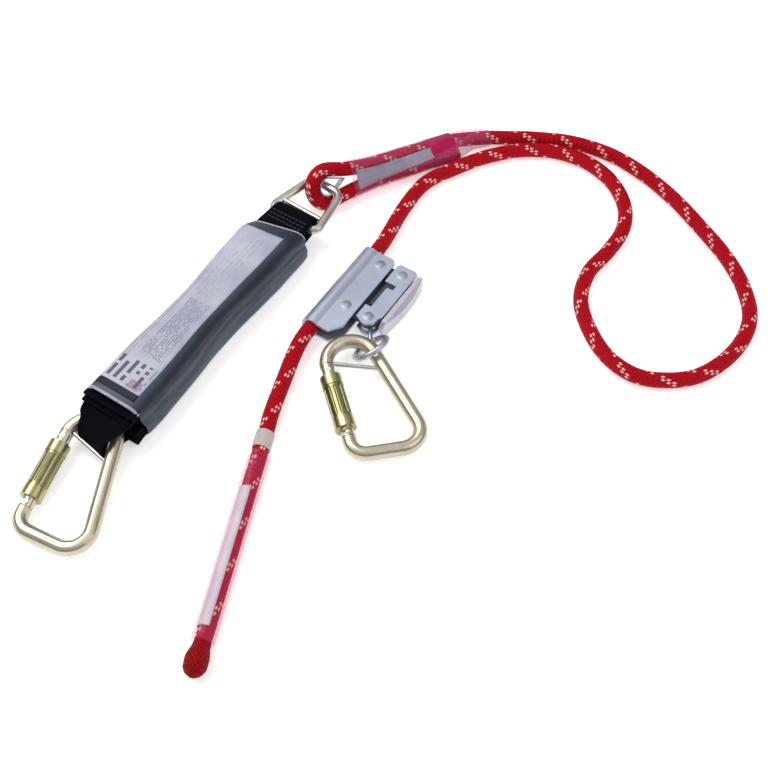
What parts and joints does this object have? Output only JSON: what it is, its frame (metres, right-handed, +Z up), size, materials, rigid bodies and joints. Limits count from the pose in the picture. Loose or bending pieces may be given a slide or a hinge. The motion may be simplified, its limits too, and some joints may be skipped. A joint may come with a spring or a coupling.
{
  "type": "shock absorbing lanyard",
  "caption": "Webbing energy absorber pack linked to a spliced rope lanyard with a sliding rope grab and a twist-lock carabiner at each connecting end.",
  "frame": {"origin": "centre of the absorber pack's flat base, on the floor", "axes": "+Z up; the lanyard lies flat on the floor, +X to the rope's loop, +Y from the rope's free end towards its eye"},
  "size_m": [0.5021, 0.4529, 0.0354],
  "materials": {
    "rope_braid": "red braided kernmantle rope with pale flecks",
    "zinc_steel": "zinc plated steel, grey",
    "gold_steel": "pale gold passivated steel",
    "sleeve_steel": "olive gold passivated steel, fluted",
    "clear_film": "clear shrink film",
    "label": null,
    "slate_film": "slate grey shrunk cover film",
    "webbing": "black polyester webbing",
    "thread": "sewing thread",
    "rope_knob": "sewn and sealed rope end",
    "dark_steel": "dark phosphated steel",
    "spring_steel": "spring steel"
  },
  "bodies": {
    "rope_assembly": {"rope": "rope_braid", "thimble": "zinc_steel", "eye_sleeve": "clear_film", "eye_label": "label", "eye_stitching": "thread", "end_whipping": "thread", "end_sleeve": "clear_film", "end_label": "label", "end_stop": "rope_knob"},
    "link": {"link_ring": "zinc_steel", "link_keeper_bar": "zinc_steel"},
    "absorber": {"absorber_cover": "slate_film", "absorber_label": "label", "tear_webbing": "webbing", "upper_loop": "webbing", "lower_loop": "webbing", "upper_stitching": "thread", "lower_stitching": "thread"},
    "carabiner_a": {"carabiner_a_body": "gold_steel", "carabiner_a_captive_pin": "zinc_steel", "carabiner_a_nose_pin": "zinc_steel", "carabiner_a_gate_rivet": "zinc_steel"},
    "gate_a": {"carabiner_a_gate": "gold_steel", "carabiner_a_gate_spring": "spring_steel", "carabiner_a_plunger": "spring_steel"},
    "sleeve_a": {"carabiner_a_sleeve": "sleeve_steel"},
    "grab": {"grab_housing": "zinc_steel", "grab_rivets": "zinc_steel", "rocker_spring": "spring_steel"},
    "rocker_lower_body": {"rocker_lower": "dark_steel"},
    "rocker_upper_body": {"rocker_upper": "dark_steel"},
    "jaw": {"jaw_plates": "zinc_steel", "jaw_block": "dark_steel", "jaw_rivets": "zinc_steel", "jaw_handle": "zinc_steel"},
    "eye_arm": {"attachment_eye": "zinc_steel"},
    "carabiner_b": {"carabiner_b_body": "gold_steel", "carabiner_b_captive_pin": "zinc_steel", "carabiner_b_nose_pin": "zinc_steel", "carabiner_b_gate_rivet": "zinc_steel"},
    "gate_b": {"carabiner_b_gate": "gold_steel", "carabiner_b_gate_spring": "spring_steel", "carabiner_b_plunger": "spring_steel"},
    "sleeve_b": {"carabiner_b_sleeve": "sleeve_steel"}
  },
  "joints": [
    {"name": "link_swing", "type": "hinge", "parent": "rope_assembly", "child": "link", "pos_m": [0.084, 0.1255, 0.0182], "axis": [-0.809, 0.5878, 0], "range_deg": [-10, 20]},
    {"name": "absorber_swing", "type": "hinge", "parent": "link", "child": "absorber", "pos_m": [0.0599, 0.09233, 0.0182], "axis": [-0.809, 0.5878, 0], "range_deg": [-30, 30]},
    {"name": "carabiner_a_swing", "type": "hinge", "parent": "absorber", "child": "carabiner_a", "pos_m": [-0.05685, -0.08351, 0.0136], "axis": [-0.9373, 0.3486, 0], "range_deg": [-3, 30]},
    {"name": "gate_a_hinge", "type": "hinge", "parent": "carabiner_a", "child": "gate_a", "pos_m": [-0.08409, -0.09524, 0.01199], "axis": [-0.0273, -0.0735, 0.9969], "range_deg": [0, 26], "stiffness_Nm_per_rad": 0.06},
    {"name": "sleeve_a_twist", "type": "hinge", "parent": "gate_a", "child": "sleeve_a", "pos_m": [-0.09399, -0.12187, 0.00975], "axis": [-0.3475, -0.9344, -0.0785], "range_deg": [0, 90], "stiffness_Nm_per_rad": 0.01},
    {"name": "grab_slide", "type": "slide", "parent": "rope_assembly", "child": "grab", "axis": [0.5446, 0.8387, 0], "range_m": [-0.007, 0.007]},
    {"name": "rocker_lower_hinge", "type": "hinge", "parent": "grab", "child": "rocker_lower_body", "pos_m": [0.10049, 0.01397, 0.009], "axis": [0, 0, -1], "range_deg": [-8, 18], "stiffness_Nm_per_rad": 0.15},
    {"name": "rocker_upper_hinge", "type": "hinge", "parent": "grab", "child": "rocker_upper_body", "pos_m": [0.12446, 0.05087, 0.009], "axis": [0, 0, -1], "range_deg": [-8, 18]},
    {"name": "jaw_hinge", "type": "hinge", "parent": "rocker_lower_body", "child": "jaw", "pos_m": [0.11618, 0.00378, 0.009], "axis": [0, 0, -1], "range_deg": [-18, 8]},
    {"name": "eye_arm_hinge", "type": "hinge", "parent": "jaw", "child": "eye_arm", "pos_m": [0.11618, 0.00378, 0.009], "axis": [0, 0, 1], "range_deg": [-10, 10]},
    {"name": "carabiner_b_swing", "type": "hinge", "parent": "eye_arm", "child": "carabiner_b", "pos_m": [0.1187, -0.0221, 0.0114], "axis": [-0.6138, 0.7875, 0.055], "range_deg": [-3, 16]},
    {"name": "gate_b_hinge", "type": "hinge", "parent": "carabiner_b", "child": "gate_b", "pos_m": [0.08901, -0.04099, 0.0108], "axis": [0.0162, -0.057, 0.9982], "range_deg": [0, 26], "stiffness_Nm_per_rad": 0.06},
    {"name": "sleeve_b_twist", "type": "hinge", "parent": "gate_b", "child": "sleeve_b", "pos_m": [0.09681, -0.06835, 0.00911], "axis": [0.2735, -0.96, -0.0593], "range_deg": [0, 90], "stiffness_Nm_per_rad": 0.01}
  ],
  "couplings": [
    {"joint": "rocker_upper_hinge", "follows": "rocker_lower_hinge", "ratio": 1},
    {"joint": "jaw_hinge", "follows": "rocker_lower_hinge", "ratio": -1}
  ]
}
